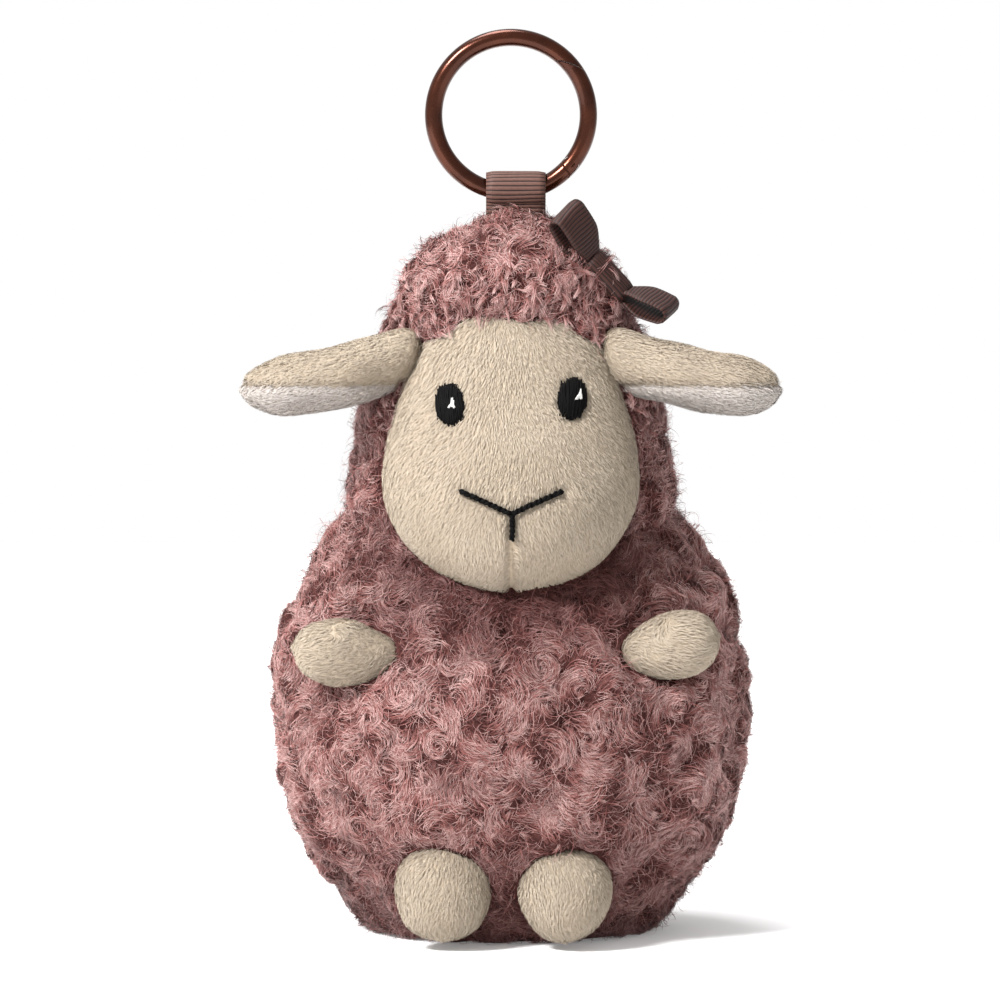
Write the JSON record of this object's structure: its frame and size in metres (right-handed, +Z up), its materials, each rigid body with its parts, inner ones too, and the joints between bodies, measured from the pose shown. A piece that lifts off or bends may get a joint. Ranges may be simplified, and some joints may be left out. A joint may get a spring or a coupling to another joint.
{
  "type": "plush sheep bag charm",
  "caption": "Small stuffed sheep of curly pile with a smooth face, spread ears, stub arms and feet, a ribbon bow and a sprung round ring on a ribbon loop.",
  "frame": {"origin": "middle of the flat base that the sheep stands on", "axes": "+Z up through the crown of the head and the ring, -Y the way the face looks, +X to the right in a front view"},
  "size_m": [0.0902, 0.0658, 0.1504],
  "materials": {
    "curly_pile": "dusty pink curly pile",
    "cream_velboa": "cream short pile",
    "white_velboa": "white short pile",
    "stuffing": "polyester fibre filling",
    "black_thread": "satin embroidery thread",
    "white_thread": "satin embroidery thread",
    "grosgrain_ribbon": "ribbed grosgrain",
    "brown_metal": "glossy dark brown lacquer",
    "spring_steel": "bright wire"
  },
  "bodies": {
    "root": {"body_cover": "curly_pile", "base_panel": "curly_pile", "body_stuffing": "stuffing", "head_cap": "curly_pile", "face_cover": "cream_velboa", "head_stuffing": "stuffing", "mouth_stitches": "black_thread", "left_eye": "black_thread", "right_eye": "black_thread", "left_eye_highlight": "white_thread", "right_eye_highlight": "white_thread", "bow_ribbon": "grosgrain_ribbon", "bow_wrap": "grosgrain_ribbon"},
    "left_ear": {"left_ear_outer": "cream_velboa", "left_ear_lining": "white_velboa"},
    "right_ear": {"right_ear_outer": "cream_velboa", "right_ear_lining": "white_velboa"},
    "left_arm": {"left_arm_cover": "cream_velboa", "left_arm_stuffing": "stuffing"},
    "right_arm": {"right_arm_cover": "cream_velboa", "right_arm_stuffing": "stuffing"},
    "left_foot": {"left_foot_cover": "cream_velboa", "left_foot_stuffing": "stuffing"},
    "right_foot": {"right_foot_cover": "cream_velboa", "right_foot_stuffing": "stuffing"},
    "loop": {"hanging_loop": "grosgrain_ribbon"},
    "ring": {"ring_body": "brown_metal", "gate_pivot_pin": "brown_metal", "gate_spring": "spring_steel"},
    "gate": {"ring_gate": "brown_metal"}
  },
  "joints": [
    {"name": "left_ear_flap", "type": "hinge", "parent": "root", "child": "left_ear", "pos_m": [-0.01954, -0.0105, 0.09537], "axis": [0, -1, 0], "range_deg": [-20, 30], "stiffness_Nm_per_rad": 0.004},
    {"name": "right_ear_flap", "type": "hinge", "parent": "root", "child": "right_ear", "pos_m": [0.01954, -0.0105, 0.09537], "axis": [0, 1, 0], "range_deg": [-3, 30], "stiffness_Nm_per_rad": 0.004},
    {"name": "left_arm_swing", "type": "hinge", "parent": "root", "child": "left_arm", "pos_m": [-0.0192, -0.02238, 0.048], "axis": [0.4242, 0.9056, 0], "range_deg": [-20, 20], "stiffness_Nm_per_rad": 0.003},
    {"name": "right_arm_swing", "type": "hinge", "parent": "root", "child": "right_arm", "pos_m": [0.0192, -0.02238, 0.048], "axis": [0.4242, -0.9056, 0], "range_deg": [-20, 20], "stiffness_Nm_per_rad": 0.003},
    {"name": "left_foot_swing", "type": "hinge", "parent": "root", "child": "left_foot", "pos_m": [-0.0112, -0.0182, 0.01376], "axis": [-1, 0, 0], "range_deg": [0, 25], "stiffness_Nm_per_rad": 0.003},
    {"name": "right_foot_swing", "type": "hinge", "parent": "root", "child": "right_foot", "pos_m": [0.0088, -0.0182, 0.01376], "axis": [-1, 0, 0], "range_deg": [0, 25], "stiffness_Nm_per_rad": 0.003},
    {"name": "loop_bend", "type": "hinge", "parent": "root", "child": "loop", "pos_m": [0, 0, 0.1202], "axis": [1, 0, 0], "range_deg": [-20, 20], "stiffness_Nm_per_rad": 0.004},
    {"name": "ring_swing", "type": "hinge", "parent": "loop", "child": "ring", "pos_m": [0, 0, 0.1238], "axis": [1, 0, 0], "range_deg": [-85, 60]},
    {"name": "gate_swing", "type": "hinge", "parent": "ring", "child": "gate", "pos_m": [0.00999, 0, 0.12806], "axis": [0, -1, 0], "range_deg": [0, 35], "stiffness_Nm_per_rad": 0.004, "springref_deg": -28.65}
  ]
}
